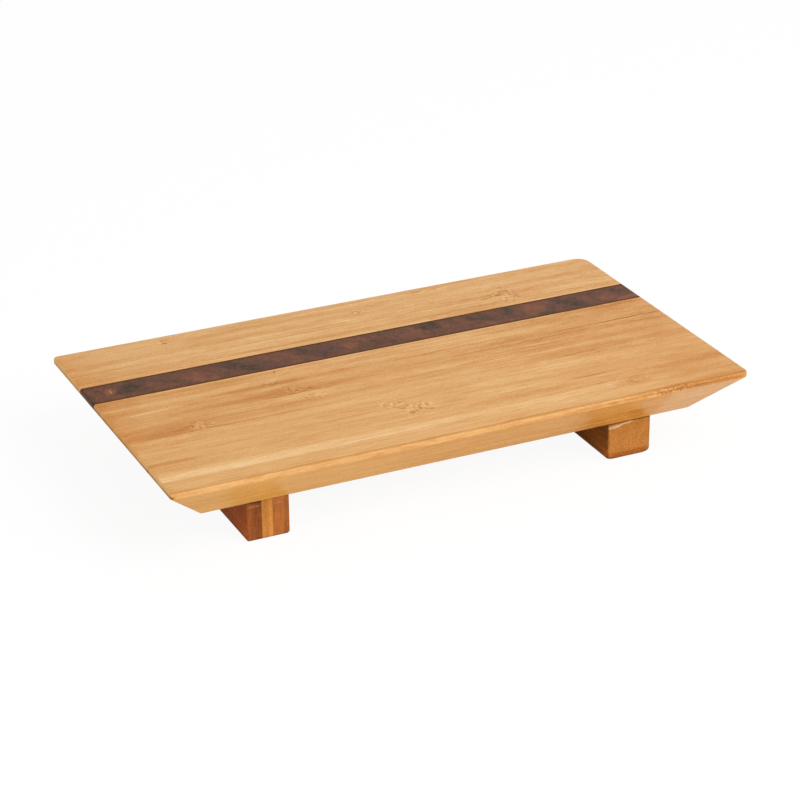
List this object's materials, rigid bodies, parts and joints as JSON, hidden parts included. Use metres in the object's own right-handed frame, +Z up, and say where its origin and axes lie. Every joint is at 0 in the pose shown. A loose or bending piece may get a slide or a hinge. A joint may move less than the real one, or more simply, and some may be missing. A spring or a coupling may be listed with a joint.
{
  "type": "sushi geta board",
  "caption": "Footed serving board for sushi: bevelled board of edge-glued bamboo staves with an inlaid dark wood strip, standing on two cross feet.",
  "frame": {"origin": "on the table under the middle of the board, at the level of the feet's resting faces", "axes": "+X along the board to the right, +Y to the back edge, on the dark strip's side, +Z up"},
  "size_m": [0.27, 0.15, 0.04],
  "materials": {
    "bamboo": "oiled satin bamboo with fine lengthwise fibres",
    "dark_wood": "oiled satin dark hardwood with a slanting figure",
    "foot_brown": "oiled brown wood, end grain at the ends",
    "foot_golden": "oiled golden wood, end grain at the ends",
    "foot_red": "oiled reddish brown wood, end grain at the ends",
    "foot_tan": "oiled tan wood, end grain at the ends",
    "screw_steel": "plain zinc-plated steel"
  },
  "bodies": {
    "root": {"back_stave_1": "bamboo", "back_stave_2": "bamboo", "back_stave_3": "bamboo", "back_stave_4": "bamboo", "back_stave_5": "bamboo", "dark_strip": "dark_wood", "front_stave_1": "bamboo", "front_stave_2": "bamboo", "front_stave_3": "bamboo", "front_stave_4": "bamboo", "front_stave_5": "bamboo", "front_stave_6": "bamboo", "front_stave_7": "bamboo", "front_stave_8": "bamboo", "front_stave_9": "bamboo", "front_stave_10": "bamboo", "front_stave_11": "bamboo", "left_foot_outer": "foot_brown", "left_foot_middle": "foot_golden", "left_foot_inner": "foot_red", "right_foot": "foot_tan", "foot_screws": "screw_steel"}
  },
  "joints": []
}
